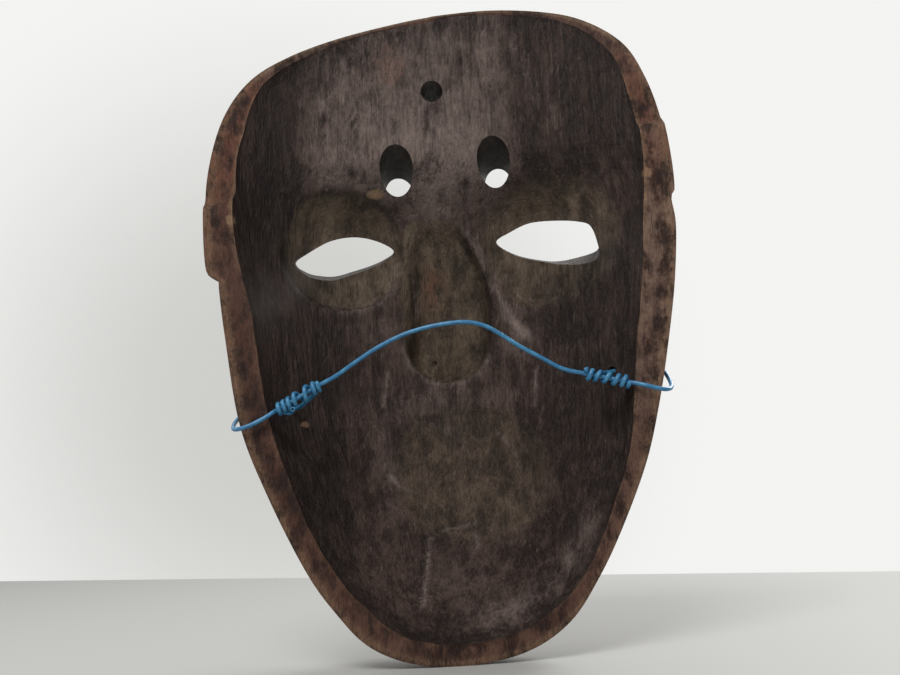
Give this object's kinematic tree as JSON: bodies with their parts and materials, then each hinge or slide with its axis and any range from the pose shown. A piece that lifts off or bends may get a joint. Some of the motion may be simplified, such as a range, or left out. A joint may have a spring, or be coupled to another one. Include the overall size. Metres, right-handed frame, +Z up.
{
  "type": "carved wooden folk mask with hanging wire",
  "caption": "Hollow carved wooden face mask with eye openings, horn sockets in the forehead and a plastic-insulated hanging wire looped through its side walls.",
  "frame": {"origin": "on the rim's back plane, which lies against the wall, on the nose line, 136 mm above the chin's lowest point", "axes": "+Z up the face to the forehead, -Y out of the face, +Y out of the hollow towards the wall, +X towards the wearer's left"},
  "size_m": [0.2101, 0.1041, 0.3021],
  "materials": {
    "carved_wood": "oiled, dark, hand carved",
    "blue_insulation": "satin",
    "copper": "bright"
  },
  "bodies": {
    "mask": {"mask_body": "carved_wood"},
    "hanging_wire": {"wire_span_jacket": "blue_insulation", "wire_span_core": "copper", "left_loop_jacket": "blue_insulation", "left_loop_core": "copper", "right_loop_jacket": "blue_insulation", "right_loop_core": "copper", "left_twist": "blue_insulation", "right_twist": "blue_insulation"}
  },
  "joints": [
    {"name": "wire_swing", "type": "hinge", "parent": "mask", "child": "hanging_wire", "pos_m": [0, -0.017, -0.02009], "axis": [0.9984, 0, -0.0564], "range_deg": [-4, 30]}
  ]
}
